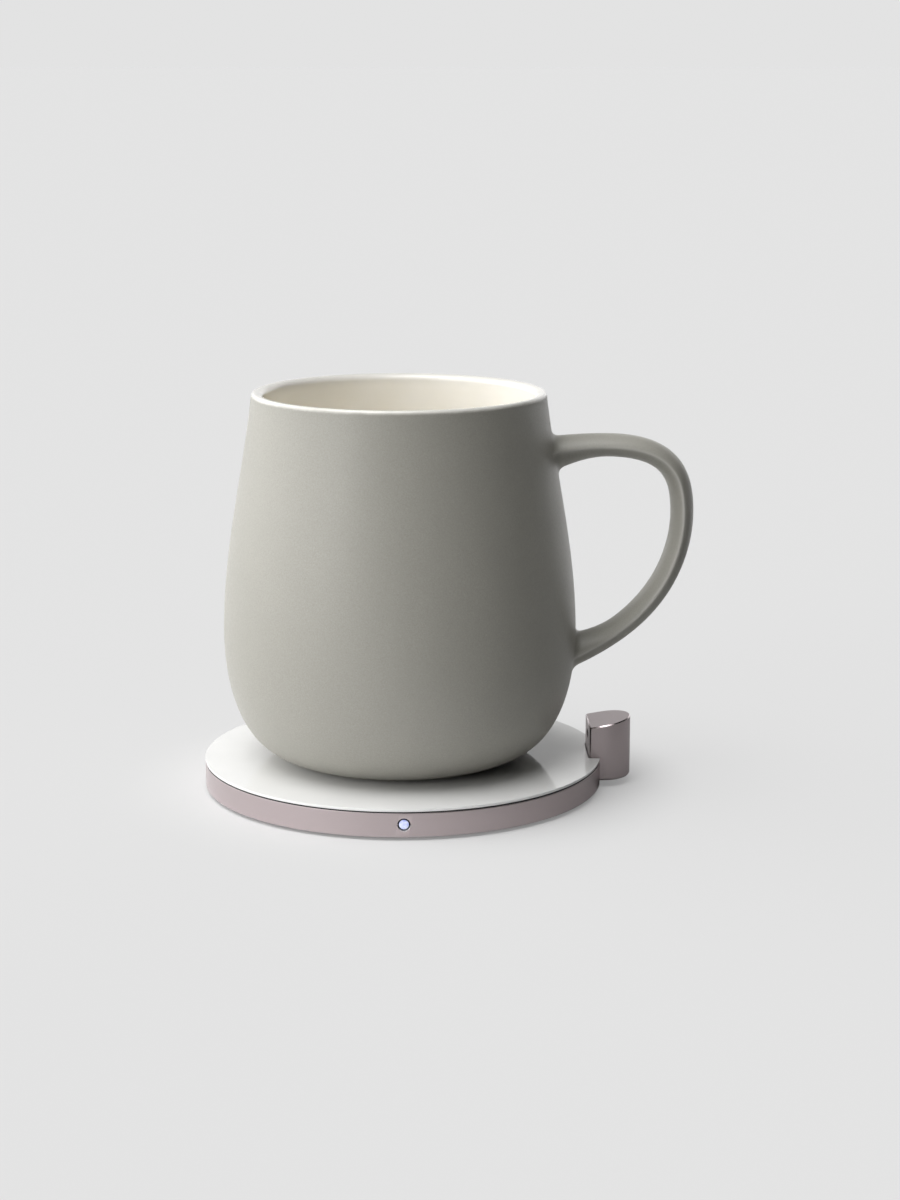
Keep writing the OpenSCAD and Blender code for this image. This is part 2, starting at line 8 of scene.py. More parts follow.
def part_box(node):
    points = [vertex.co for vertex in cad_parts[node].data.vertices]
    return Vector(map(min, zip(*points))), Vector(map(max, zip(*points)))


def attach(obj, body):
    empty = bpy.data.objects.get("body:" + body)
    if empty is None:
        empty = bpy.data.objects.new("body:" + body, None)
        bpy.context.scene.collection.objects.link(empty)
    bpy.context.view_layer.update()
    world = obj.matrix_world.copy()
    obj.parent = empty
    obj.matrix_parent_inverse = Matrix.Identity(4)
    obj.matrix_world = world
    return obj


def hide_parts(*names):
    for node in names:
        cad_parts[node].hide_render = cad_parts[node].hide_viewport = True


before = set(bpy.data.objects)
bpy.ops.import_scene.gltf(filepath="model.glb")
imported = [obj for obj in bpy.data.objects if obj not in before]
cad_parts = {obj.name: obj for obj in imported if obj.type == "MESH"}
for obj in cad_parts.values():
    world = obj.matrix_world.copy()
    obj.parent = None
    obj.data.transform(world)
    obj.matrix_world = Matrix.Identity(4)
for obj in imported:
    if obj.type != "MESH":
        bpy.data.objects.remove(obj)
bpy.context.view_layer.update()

mm = 0.001

# Where the frame's pieces lie, in metres
mug_low, mug_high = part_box("mug_vessel")
rim_low, rim_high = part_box("rim_frame")
glass_low, glass_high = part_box("glass_top")
grip_low, grip_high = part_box("non_slip_pad")
button_low, button_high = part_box("power_button")
coil_low, coil_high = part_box("transmitter_coil")
tongue_low, tongue_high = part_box("usb_socket_tongue")
screw_low, screw_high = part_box("cover_screws")

# Mug wall, as radius and height over the foot; the lip reaches lip_out outwards, the rest inwards
mug_x = (mug_low.x + mug_high.x) / 2
mug_z = mug_low.z
foot_r = 27 * mm
recess_r = 23.2 * mm
foot_h = 0.5 * mm
foot_round = 0.25 * mm
recess_depth = 1.2 * mm
floor_t = 5 * mm
floor_r = 20 * mm
belly_r = (mug_high.x - mug_low.x) / 2
belly_z = 33.3 * mm
belly_in_r = 42.7 * mm
lip_r = 1.6 * mm
lip_out = 1 * mm
lip_z = mug_high.z - mug_low.z - lip_r
mouth_out_r = 38.3 * mm
mouth_in_r = mouth_out_r - 2 * lip_r
outer_low = [(foot_r, foot_h), (45 * mm, 1.5 * mm), (belly_r, 26.1 * mm), (belly_r, belly_z)]
outer_up = [(belly_r, belly_z), (belly_r, 54.7 * mm), (40.75 * mm, 74.9 * mm), (mouth_out_r, lip_z)]
inner_up = [(belly_in_r, belly_z), (belly_in_r, 54.7 * mm), (37.55 * mm, 74.9 * mm), (mouth_in_r, lip_z)]
inner_low = [(floor_r, floor_t), (41.6 * mm, 5.4 * mm), (belly_in_r, 26.8 * mm), (belly_in_r, belly_z)]

# Glaze, by its run over the lip: the cream's start and end, the run where a painted shade over the lip
# fades into full cream, and the mark of bare clay
cream_run = (0.5 * mm, 1.4 * mm)
lip_shade_run = (2.2 * mm, 7.2 * mm)
glaze_waver = 0.12 * mm
clay_mark = -10.0

# Handle, a sweep between two roots in the wall
handle_t = 6 * mm
handle_w = 11 * mm
handle_reach = 73.9 * mm
handle_bulge_z = 64.3 * mm
handle_top_z = 81 * mm
handle_low_z = 29 * mm
handle_end_z = 26 * mm
handle_top_pull = (68.6 * mm, 86 * mm)
handle_bulge_up = 77.8 * mm
handle_bulge_down = 58.6 * mm
handle_low_pull = (72.2 * mm, 36.8 * mm)
root_sink = 3 * mm
root_flare = 1.1
root_flare_out = 0.15
root_spread = 0.3
root_zone = 0.11
root_fillet = 2 * mm
fillet_sink = 0.4 * mm
handle_ridge = 1.45
ridge_fade = 60

# Pad
pad_r = -rim_low.y
rim_z0 = rim_low.z
rim_z1 = rim_high.z
rim_edge = 0.25 * mm
rim_top_edge = 0.12 * mm
# Painted shade: how far the rim's metal is darkened towards a deeper mauve
rim_shade = 0.7
rim_inner_r = pad_r - 2 * mm
shelf_r = pad_r - 6 * mm
shelf_t = 1 * mm
glass_edge = 0.08 * mm
glass_low_edge = 0.2 * mm
edge_hold = 0.1 * mm
gasket_inset = 0.15 * mm
gasket_r = pad_r - gasket_inset
button_z = (button_low.z + button_high.z) / 2
button_r = 1.25 * mm
button_hole_r = button_r + 0.4 * mm
inlet_z = (tongue_low.z + tongue_high.z) / 2
inlet_w = 8.94 * mm
inlet_h = 3.26 * mm
inlet_gap = 0.3 * mm

# Sensor post, a D outline with its flat towards the mug
post_x = pad_r - 3.3 * mm
post_w = 15 * mm
post_d = 11.3 * mm
post_h = 16.2 * mm
post_slope = math.tan(math.radians(9.5))
post_corner = 0.38 * mm
post_foot = 1.7 * mm
post_foot_round = 0.9 * mm
post_gap = 0.25 * mm
seat_gap = post_gap + 0.15 * mm
seat_depth = 2.4 * mm
seat_lift = 1.4 * mm
post_wall = 1.4 * mm
post_front_wall = 2 * mm
post_edge = 0.28 * mm
window_w = 4.4 * mm
window_h = 2.2 * mm
window_z = post_h - 3.4 * mm


def add(tree, kind, feeds=None, **settings):
    """Adds a node, sets it up and feeds its sockets with values or other sockets."""
    made = tree.nodes.new(kind)
    for name, value in settings.items():
        setattr(made, name, value)
    for name, value in (feeds or {}).items():
        if isinstance(value, bpy.types.NodeSocket):
            tree.links.new(value, made.inputs[name])
        else:
            made.inputs[name].default_value = value
    return made


def sum_of(tree, operation, first, second=0.0):
    """One step of arithmetic on two sockets or values."""
    return add(tree, "ShaderNodeMath", {0: first, 1: second}, operation=operation).outputs[0]


def settle(piece):
    """Turns a piece and its modifiers into one plain mesh."""
    bpy.context.view_layer.update()
    seen = piece.evaluated_get(bpy.context.evaluated_depsgraph_get())
    mesh = bpy.data.meshes.new_from_object(seen)
    piece.modifiers.clear()
    piece.data = mesh


def tidy_mesh(piece, sharp=35.0):
    """Merges doubles, turns the faces outwards and shades all but the sharp edges smooth."""
    work = bmesh.new()
    work.from_mesh(piece.data)
    bmesh.ops.remove_doubles(work, verts=work.verts, dist=0.0005 * mm)
    bmesh.ops.dissolve_degenerate(work, edges=work.edges, dist=0.0005 * mm)
    bmesh.ops.recalc_face_normals(work, faces=work.faces)
    for face in work.faces:
        face.smooth = True
    work.to_mesh(piece.data)
    work.free()
    piece.data.set_sharp_from_angle(angle=math.radians(sharp))


def piece_of(name, work):
    """Makes an object of a finished bmesh."""
    mesh = bpy.data.meshes.new(name)
    work.to_mesh(mesh)
    work.free()
    piece = bpy.data.objects.new(name, mesh)
    bpy.context.scene.collection.objects.link(piece)
    return piece


def give(piece, finish):
    """Gives a piece its one material."""
    piece.data.materials.clear()
    piece.data.materials.append(finish)


def prism(name, outline, low, high, place=None):
    """Makes a closed bar of a flat outline; high is a height or a rule of the outline's point."""
    work = bmesh.new()
    height = high if callable(high) else lambda point: high
    under = [work.verts.new((x, y, low)) for x, y in outline]
    over = [work.verts.new((x, y, height((x, y)))) for x, y in outline]
    work.faces.new(list(reversed(under)))
    work.faces.new(over)
    for i in range(len(outline)):
        k = (i + 1) % len(outline)
        work.faces.new((under[i], under[k], over[k], over[i]))
    if place:
        bmesh.ops.transform(work, matrix=place, verts=work.verts)
    bmesh.ops.recalc_face_normals(work, faces=work.faces)
    return piece_of(name, work)


def combine(piece, others, operation="DIFFERENCE"):
    """Cuts other bars out of a piece, or joins them to it, and removes them."""
    for other in others:
        step = piece.modifiers.new(other.name, "BOOLEAN")
        step.operation = operation
        step.solver = "EXACT"
        step.object = other
    settle(piece)
    for other in others:
        bpy.data.objects.remove(other)


def on_curve(pulls, t):
    """A point of a curve with two end points and two pulls."""
    u = 1 - t
    shares = (u ** 3, 3 * u * u * t, 3 * u * t * t, t ** 3)
    return tuple(sum(share * pull[axis] for share, pull in zip(shares, pulls)) for axis in (0, 1))


def arc(centre, radius, start, end, steps):
    """Points of a round corner, with angles in degrees."""
    turns = [math.radians(start + (end - start) * i / steps) for i in range(steps + 1)]
    return [(centre[0] + radius * math.cos(t), centre[1] + radius * math.sin(t)) for t in turns]


def grow(piece, tree, **sizes):
    """Runs a node tree on a piece with its named sizes and keeps the plain mesh."""
    step = piece.modifiers.new(tree.name, "NODES")
    step.node_group = tree
    for socket in tree.interface.items_tree:
        if socket.in_out == "INPUT" and socket.name in sizes:
            step[socket.identifier] = sizes[socket.name]
    settle(piece)


def new_tree(name, **sockets):
    """Starts a node tree with a form in, a form out and its named sizes."""
    tree = bpy.data.node_groups.new(name, "GeometryNodeTree")
    tree.interface.new_socket("Form", in_out="INPUT", socket_type="NodeSocketGeometry")
    for socket, kind in sockets.items():
        tree.interface.new_socket(socket, in_out="INPUT", socket_type="NodeSocket" + kind)
    tree.interface.new_socket("Finish", in_out="INPUT", socket_type="NodeSocketMaterial")
    tree.interface.new_socket("Made", in_out="OUTPUT", socket_type="NodeSocketGeometry")
    return tree, tree.nodes.new("NodeGroupInput").outputs


def close_tree(tree, given, form):
    """Ends a node tree in real faces with their finish."""
    real = add(tree, "GeometryNodeRealizeInstances", {"Geometry": form}).outputs[0]
    dressed = add(tree, "GeometryNodeSetMaterial", {"Geometry": real, "Material": given["Finish"]})
    add(tree, "NodeGroupOutput", {"Made": dressed.outputs[0]})


def turning_tree():
    """The rule of every turned piece: an outline in the X Z plane goes round the upright axis."""
    tree, given = new_tree("turned_form", Facets="Int")
    size = add(tree, "GeometryNodeAttributeDomainSize", {"Geometry": given["Form"]})
    count = size.outputs["Point Count"]
    columns = sum_of(tree, "ADD", given["Facets"], 1.0)
    sheet = add(
        tree, "GeometryNodeMeshGrid",
        {"Size X": 1.0, "Size Y": 1.0, "Vertices X": count, "Vertices Y": columns},
    ).outputs["Mesh"]
    here = tree.nodes.new("GeometryNodeInputPosition").outputs[0]
    flat = add(tree, "ShaderNodeSeparateXYZ", {0: here}).outputs
    last = sum_of(tree, "SUBTRACT", count, 1.0)
    along = sum_of(tree, "MULTIPLY", sum_of(tree, "ADD", flat[0], 0.5), last)
    index = sum_of(tree, "ROUND", along)
    turn = sum_of(tree, "MULTIPLY", sum_of(tree, "ADD", flat[1], 0.5), 2 * math.pi)
    band = add(tree, "GeometryNodeInputNamedAttribute", {"Name": "band"}, data_type="FLOAT").outputs[0]
    band_here = add(
        tree, "GeometryNodeSampleIndex",
        {"Geometry": given["Form"], "Value": band, "Index": index}, data_type="FLOAT",
    ).outputs[0]
    marked = add(
        tree, "GeometryNodeStoreNamedAttribute",
        {"Geometry": sheet, "Name": "band", "Value": band_here}, data_type="FLOAT", domain="POINT",
    ).outputs[0]
    spot = add(
        tree, "GeometryNodeSampleIndex",
        {"Geometry": given["Form"], "Value": here, "Index": index}, data_type="FLOAT_VECTOR",
    ).outputs[0]
    spot = add(tree, "ShaderNodeSeparateXYZ", {0: spot}).outputs
    place = add(tree, "ShaderNodeCombineXYZ", {
        0: sum_of(tree, "MULTIPLY", spot[0], sum_of(tree, "COSINE", turn)),
        1: sum_of(tree, "MULTIPLY", spot[0], sum_of(tree, "SINE", turn)),
        2: spot[2],
    }).outputs[0]
    turned = add(tree, "GeometryNodeSetPosition", {"Geometry": marked, "Position": place}).outputs[0]
    joined = add(tree, "GeometryNodeMergeByDistance", {"Geometry": turned, "Distance": 0.0005 * mm})
    close_tree(tree, given, joined.outputs[0])
    return tree


turned_form = turning_tree()


def turned(name, outline, finish, facets, place, bands=None):
    """Turns an outline of radius and height round its axis, then puts it in its place."""
    work = bmesh.new()
    mark = work.verts.layers.float.new("band")
    for i, (radius, height) in enumerate(outline):
        point = work.verts.new((radius, 0, height))
        point[mark] = bands[i] if bands else 0.0
    piece = piece_of(name, work)
    grow(piece, turned_form, Facets=facets, Finish=finish)
    piece.data.transform(place)
    tidy_mesh(piece)
    return piece


def new_finish(name):
    """Starts a material, with its tree, its shader and the piece's own coordinates."""
    finish = bpy.data.materials.new(name)
    finish.use_nodes = True
    tree = finish.node_tree
    shader = tree.nodes["Principled BSDF"]
    spot = tree.nodes.new("ShaderNodeTexCoord").outputs["Object"]
    return finish, tree, shader, spot


def grain(tree, spot, size, low=0.0, high=1.0, detail=2.0, roughness=0.5):
    """Even cloudy grain of a given size in metres, as a number between low and high."""
    noise = add(
        tree, "ShaderNodeTexNoise",
        {"Vector": spot, "Scale": 1 / size, "Detail": detail, "Roughness": roughness},
    )
    return ranged(tree, noise.outputs["Fac"], 0.3, 0.7, low, high)


def ranged(tree, value, from_low, from_high, low, high, smooth=False):
    """Fits a number from one range to another."""
    return add(
        tree, "ShaderNodeMapRange",
        {"Value": value, "From Min": from_low, "From Max": from_high, "To Min": low, "To Max": high},
        interpolation_type="SMOOTHSTEP" if smooth else "LINEAR",
    ).outputs["Result"]


def between(tree, share, first, second):
    """Mixes two colours, each a socket or red, green and blue."""
    colours = [c if isinstance(c, bpy.types.NodeSocket) else (*c, 1.0) for c in (first, second)]
    return add(
        tree, "ShaderNodeMix", {0: share, 6: colours[0], 7: colours[1]}, data_type="RGBA",
    ).outputs[2]


def relief(tree, shader, height, depth):
    """Raises the surface by a height between 0 and 1 times the depth in metres."""
    bump = add(tree, "ShaderNodeBump", {"Height": height, "Distance": depth, "Strength": 1.0})
    tree.links.new(bump.outputs[0], shader.inputs["Normal"])


def feed(tree, shader, **sockets):
    """Feeds the shader's sockets by name, with spaces as underscores."""
    for name, value in sockets.items():
        socket = shader.inputs[name.replace("_", " ")]
        if isinstance(value, bpy.types.NodeSocket):
            tree.links.new(value, socket)
        else:
            socket.default_value = value


def stoneware_glaze():
    """Matte speckled grey, paler along the handle's ridge as a painted highlight, cream from the lip on
    with a painted shade over the lip, bare clay under the foot.
    """
    finish, tree, shader, spot = new_finish("stoneware")
    band = add(tree, "ShaderNodeAttribute", attribute_name="band").outputs["Fac"]
    speckle = grain(tree, spot, 0.35 * mm, detail=3.0, roughness=0.7)
    cloud = grain(tree, spot, 14 * mm, detail=3.0)
    grey = between(tree, speckle, (0.307, 0.299, 0.264), (0.377, 0.367, 0.328))
    grey = between(tree, ranged(tree, cloud, 0, 1, 0, 0.3), grey, (0.317, 0.310, 0.277))
    # Painted highlight: the grey turns paler along the handle's ridge, where the light would catch it
    ridge = add(tree, "ShaderNodeAttribute", attribute_name="ridge").outputs["Fac"]
    painted_ridge_highlight = sum_of(tree, "MULTIPLY", ridge, ranged(tree, cloud, 0, 1, 0.7, 1))
    grey = between(tree, painted_ridge_highlight, grey, (0.56, 0.55, 0.51))
    waver = grain(tree, spot, 3 * mm, -glaze_waver, glaze_waver)
    over_lip = sum_of(tree, "ADD", band, waver)
    cream_share = ranged(tree, over_lip, *cream_run, 0, 1, smooth=True)
    lip_shade_fade = ranged(tree, over_lip, *lip_shade_run, 0, 1, smooth=True)
    cream = between(tree, grain(tree, spot, 9 * mm), (0.935, 0.914, 0.858), (0.952, 0.934, 0.89))
    # Painted shade: the cream is darker over the lip and turns full cream further inside
    cream = between(tree, lip_shade_fade, (0.71, 0.695, 0.65), cream)
    clay_share = ranged(tree, band, clay_mark + 1, clay_mark, 0, 1)
    clay = between(tree, speckle, (0.42, 0.36, 0.29), (0.52, 0.46, 0.38))
    colour = between(tree, clay_share, between(tree, cream_share, grey, cream), clay)
    satin = grain(tree, spot, 0.8 * mm, 0.38, 0.48)
    gloss = sum_of(tree, "MULTIPLY", cream_share, -0.32)
    feed(tree, shader, Base_Color=colour, Roughness=sum_of(tree, "ADD", satin, gloss))
    fine = grain(tree, spot, 0.5 * mm, detail=4.0)
    matte = ranged(tree, cream_share, 0, 1, 1, 0.08)
    relief(tree, shader, sum_of(tree, "MULTIPLY", fine, matte), 0.012 * mm)
    return finish


def mauve_metal():
    """Blasted and anodised aluminium in a warm mauve grey, darker on the rim as painted shade, and
    brighter on cut edges.
    """
    finish, tree, shader, spot = new_finish("mauve_metal")
    blast = grain(tree, spot, 0.12 * mm)
    cloud = grain(tree, spot, 6 * mm)
    colour = between(tree, blast, (0.475, 0.413, 0.42), (0.532, 0.466, 0.472))
    colour = between(tree, ranged(tree, cloud, 0, 1, 0, 0.25), colour, (0.485, 0.428, 0.432))
    band = add(tree, "ShaderNodeAttribute", attribute_name="band").outputs["Fac"]
    # Painted shade: the rim's band darkens its metal
    colour = between(tree, band, colour, (0.40, 0.345, 0.35))
    cut = add(tree, "ShaderNodeAttribute", attribute_name="cut").outputs["Fac"]
    bright = sum_of(tree, "MULTIPLY", cut, -0.15)
    satin = sum_of(tree, "ADD", grain(tree, spot, 0.2 * mm, 0.34, 0.42), bright)
    feed(tree, shader, Base_Color=colour, Metallic=1.0, Roughness=satin)
    relief(tree, shader, blast, 0.004 * mm)
    return finish


def backed_glass():
    """Clear polished glass with a white coat behind it, with the faint film that hands leave."""
    finish, tree, shader, spot = new_finish("white_glass")
    film = grain(tree, spot, 12 * mm, detail=5.0)
    colour = between(tree, film, (0.775, 0.775, 0.765), (0.805, 0.805, 0.795))
    feed(tree, shader, Base_Color=colour, Roughness=ranged(tree, film, 0, 1, 0.03, 0.06), IOR=1.52)
    return finish


def moulded(name, dark, pale, size, low, high, depth, metallic=0.0):
    """Plain stock with an even fine texture: plastic, rubber, sintered or plated stock."""
    finish, tree, shader, spot = new_finish(name)
    texture = grain(tree, spot, size, detail=3.0)
    cloud = grain(tree, spot, 20 * size)
    colour = between(tree, texture, dark, pale)
    colour = between(tree, ranged(tree, cloud, 0, 1, 0, 0.3), colour, dark)
    feed(
        tree, shader, Base_Color=colour, Metallic=metallic,
        Roughness=ranged(tree, texture, 0, 1, low, high),
    )
    relief(tree, shader, texture, depth)
    return finish


def brushed(name, dark, pale, low, high):
    """Metal with fine lines of a lathe tool round the upright axis."""
    finish, tree, shader, spot = new_finish(name)
    centred = add(tree, "ShaderNodeMapping", {"Vector": spot, "Location": (-mug_x, 0, 0)}).outputs[0]
    rings = add(
        tree, "ShaderNodeTexWave",
        {"Vector": centred, "Scale": 900.0, "Distortion": 6.0, "Detail": 3.0, "Detail Scale": 2.0},
        wave_type="RINGS", rings_direction="Z",
    ).outputs["Fac"]
    feed(
        tree, shader, Base_Color=between(tree, rings, dark, pale), Metallic=1.0,
        Roughness=ranged(tree, rings, 0, 1, low, high),
    )
    relief(tree, shader, rings, 0.004 * mm)
    return finish


def board_lacquer():
    """Green lacquer over copper traces."""
    finish, tree, shader, spot = new_finish("board")
    cells = add(
        tree, "ShaderNodeTexVoronoi", {"Vector": spot, "Scale": 420.0},
        feature="DISTANCE_TO_EDGE", distance="CHEBYCHEV",
    ).outputs["Distance"]
    trace = ranged(tree, cells, 0.10, 0.14, 1, 0)
    colour = between(tree, trace, (0.012, 0.075, 0.032), (0.030, 0.150, 0.060))
    feed(tree, shader, Base_Color=colour, Roughness=grain(tree, spot, 1 * mm, 0.28, 0.38))
    relief(tree, shader, trace, 0.02 * mm)
    return finish


def glowing_lens():
    """Milky lens that glows unevenly on its face, with a dark blue stem behind."""
    finish, tree, shader, spot = new_finish("lit_lens")
    band = add(tree, "ShaderNodeAttribute", attribute_name="band").outputs["Fac"]
    milk = grain(tree, spot, 1.1 * mm, detail=1.0)
    blue = between(tree, milk, (0.26, 0.31, 0.62), (0.42, 0.46, 0.66))
    glow = between(tree, milk, (0.50, 0.58, 1.0), (0.86, 0.90, 1.0))
    face = between(tree, band, (0.010, 0.012, 0.045), blue)
    power = sum_of(tree, "MULTIPLY", band, ranged(tree, milk, 0, 1, 0.34, 0.46))
    feed(
        tree, shader, Base_Color=face, Roughness=ranged(tree, milk, 0, 1, 0.18, 0.26),
        Emission_Color=glow, Emission_Strength=power,
    )
    return finish


stoneware = stoneware_glaze()
mauve = mauve_metal()
white_glass = backed_glass()
lit_lens = glowing_lens()
board = board_lacquer()
seal = moulded(
    "black_seal", (0.010, 0.009, 0.009), (0.018, 0.016, 0.016), 0.3 * mm, 0.55, 0.7, 0.01 * mm,
)
rubber = moulded(
    "silicone", (0.020, 0.020, 0.022), (0.032, 0.032, 0.034), 0.25 * mm, 0.6, 0.75, 0.012 * mm,
)
cover_plastic = moulded(
    "dark_plastic", (0.022, 0.021, 0.022), (0.036, 0.034, 0.035), 0.35 * mm, 0.45, 0.6, 0.02 * mm,
)
carrier_plastic = moulded(
    "white_plastic", (0.60, 0.60, 0.57), (0.68, 0.68, 0.65), 0.4 * mm, 0.4, 0.5, 0.01 * mm,
)
chip_black = moulded(
    "chip_black", (0.010, 0.010, 0.011), (0.020, 0.020, 0.022), 0.1 * mm, 0.5, 0.65, 0.01 * mm,
)
ferrite = moulded(
    "ferrite", (0.022, 0.022, 0.024), (0.050, 0.050, 0.053), 0.5 * mm, 0.55, 0.7, 0.01 * mm,
)
dipped_amber = moulded(
    "capacitor_body", (0.36, 0.17, 0.025), (0.44, 0.23, 0.04), 0.8 * mm, 0.25, 0.35, 0.01 * mm,
)
film_amber = moulded(
    "flex_amber", (0.30, 0.12, 0.015), (0.40, 0.18, 0.03), 0.6 * mm, 0.22, 0.32, 0.004 * mm,
)
bead_lacquer = moulded(
    "bead", (0.010, 0.040, 0.070), (0.020, 0.060, 0.100), 0.3 * mm, 0.25, 0.35, 0.01 * mm,
)
lamp_body = moulded(
    "led_body", (0.74, 0.76, 0.70), (0.82, 0.84, 0.78), 0.2 * mm, 0.3, 0.4, 0.004 * mm,
)
smoked = moulded(
    "window_black", (0.010, 0.008, 0.010), (0.016, 0.013, 0.016), 0.6 * mm, 0.10, 0.16, 0.001 * mm,
)
plated = moulded(
    "socket_metal", (0.52, 0.52, 0.53), (0.62, 0.62, 0.63), 0.3 * mm, 0.24, 0.34, 0.003 * mm, 1.0,
)
screw_plate = moulded(
    "screw_steel", (0.46, 0.46, 0.48), (0.58, 0.58, 0.60), 0.2 * mm, 0.3, 0.42, 0.004 * mm, 1.0,
)
gilt = moulded(
    "contact_gilt", (0.70, 0.47, 0.15), (0.80, 0.56, 0.22), 0.2 * mm, 0.22, 0.3, 0.002 * mm, 1.0,
)
can_metal = moulded(
    "sensor_can", (0.50, 0.47, 0.40), (0.60, 0.57, 0.49), 0.3 * mm, 0.3, 0.4, 0.003 * mm, 1.0,
)
strand_copper = moulded(
    "copper", (0.56, 0.23, 0.10), (0.72, 0.34, 0.16), 0.15 * mm, 0.28, 0.4, 0.02 * mm, 1.0,
)
heater_metal = brushed("heater_metal", (0.40, 0.40, 0.41), (0.50, 0.50, 0.51), 0.32, 0.46)

kept_finishes = {
    "heating_disc": heater_metal,
    "bottom_cover": cover_plastic,
    "post_base": cover_plastic,
    "post_screws": screw_plate,
    "ferrite_shield": ferrite,
    "coil_carrier": carrier_plastic,
    "glass_thermistor": bead_lacquer,
    "control_board": board,
    "sensor_board": board,
    "controller_chip": chip_black,
    "power_transistors": chip_black,
    "button_switch": chip_black,
    "usb_socket_tongue": chip_black,
    "resonance_capacitors": dipped_amber,
    "status_led": lamp_body,
    "usb_socket_shell": plated,
    "ir_sensor": can_metal,
    "sensor_flex": film_amber,
}
for node, finish in kept_finishes.items():
    give(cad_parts[node], finish)


def wall_r(height):
    """Outer radius of the mug at a height over its foot."""
    pulls = outer_low if height < belly_z else outer_up
    low, high = 0.0, 1.0
    for _ in range(40):
        middle = (low + high) / 2
        if on_curve(pulls, middle)[1] < height:
            low = middle
        else:
            high = middle
    return on_curve(pulls, low)[0]


def mug_outline():
    """The wall's outline from under the floor round the lip to the inside, with its glaze bands."""
    steps = 44
    under = [(0, recess_depth), (recess_r, recess_depth)]
    under += arc((recess_r + foot_round, foot_round), foot_round, 180, 270, 4)
    under += arc((foot_r - foot_round, foot_round), foot_round, 270, 360, 4)
    outside = [on_curve(outer_low, i / steps) for i in range(steps + 1)]
    outside += [on_curve(outer_up, i / steps) for i in range(1, steps)]
    lip = []
    for turn, rise in arc((0, 0), 1, 0, 180, 20):
        reach = lip_out if turn > 0 else 2 * lip_r - lip_out
        lip.append((mouth_out_r - lip_out + reach * turn, lip_z + lip_r * rise))
    inside = [on_curve(inner_up, 1 - i / steps) for i in range(1, steps + 1)]
    inside += [on_curve(inner_low, 1 - i / steps) for i in range(1, steps + 1)]
    inside += [(0, floor_t)]
    outline = under + outside + lip + inside
    first_lip = len(under) + len(outside)
    bands = [clay_mark] * len(under)
    run = 0.0
    for i in range(len(under), len(outline)):
        if i > first_lip:
            run += math.dist(outline[i], outline[i - 1])
        bands.append(run if i >= first_lip else outline[i][1] - lip_z)
    return outline, bands


mug_place = Matrix.Translation((mug_x, 0, mug_z))
outline, bands = mug_outline()
mug_body = turned("mug_body", outline, stoneware, 192, mug_place, bands)

handle_up = [
    (wall_r(handle_top_z) - root_sink, handle_top_z), handle_top_pull,
    (handle_reach, handle_bulge_up), (handle_reach, handle_bulge_z),
]
handle_down = [
    (handle_reach, handle_bulge_z), (handle_reach, handle_bulge_down),
    handle_low_pull, (wall_r(handle_low_z) - root_sink, handle_end_z),
]


def handle_mid(s):
    """The handle's middle line, from its upper root at 0 to its lower root at 1."""
    return on_curve(handle_up, 2 * s) if s < 0.5 else on_curve(handle_down, 2 * s - 1)


def handle_point(s, turn):
    """A point on the handle's skin: a lens section with a soft ridge to each side."""
    step = 0.002
    middle = Vector(handle_mid(s))
    before = Vector(handle_mid(max(0, s - step)))
    ahead = (Vector(handle_mid(min(1, s + step))) - before).normalized()
    near_root = max(0, 1 - min(s, 1 - s) / root_zone) ** 2
    lean = math.cos(turn)
    flare = 1 + (root_flare_out if lean > 0 else root_flare) * near_root
    out = handle_t / 2 * flare * math.copysign(abs(lean) ** (2 / handle_ridge), lean)
    side = handle_w / 2 * (1 + root_spread * near_root) * math.sin(turn)
    return Vector((middle.x - ahead.y * out, side, middle.y + ahead.x * out))


def wall_gap(point):
    """Distance of a point outside the mug's wall, and the wall's outward direction there."""
    step = 0.05 * mm
    radius = math.hypot(point.x, point.y)
    lean = (wall_r(point.z + step) - wall_r(point.z - step)) / (2 * step)
    away = Vector((point.x / radius, point.y / radius, -lean)).normalized()
    return (radius - wall_r(point.z)) * math.hypot(away.x, away.y), away


def bisect(rule, low, high):
    """The place between low and high where a rule goes from false to true."""
    for _ in range(30):
        middle = (low + high) / 2
        if rule(middle):
            high = middle
        else:
            low = middle
    return high


def root_strand(turn, root):
    """One line of the fillet at a root: from the wall out to where the plain handle begins."""
    def point(q):
        return handle_point(abs(root - q), turn)

    def middle(q):
        across, up = handle_mid(abs(root - q))
        return Vector((across, 0, up))

    reach = 0.25
    hit = bisect(lambda q: wall_gap(point(q))[0] > 0, 0.0, reach)
    centre = middle(bisect(lambda q: wall_gap(middle(q))[0] > 0, 0.0, reach))
    foot = point(hit)
    end = bisect(lambda q: (point(q) - foot).length > root_fillet, hit, hit + reach)
    away = wall_gap(foot)[1]
    spread = foot - centre
    spread = (spread - away * spread.dot(away)).normalized()
    start = foot + spread * root_fillet
    start -= away * wall_gap(start)[0]
    line = [start - away * fillet_sink]
    steps = 8
    for i in range(steps + 1):
        t = i / steps
        line.append(start * (1 - t) ** 2 + foot * 2 * t * (1 - t) + point(end) * t * t)
    return line, abs(root - end)


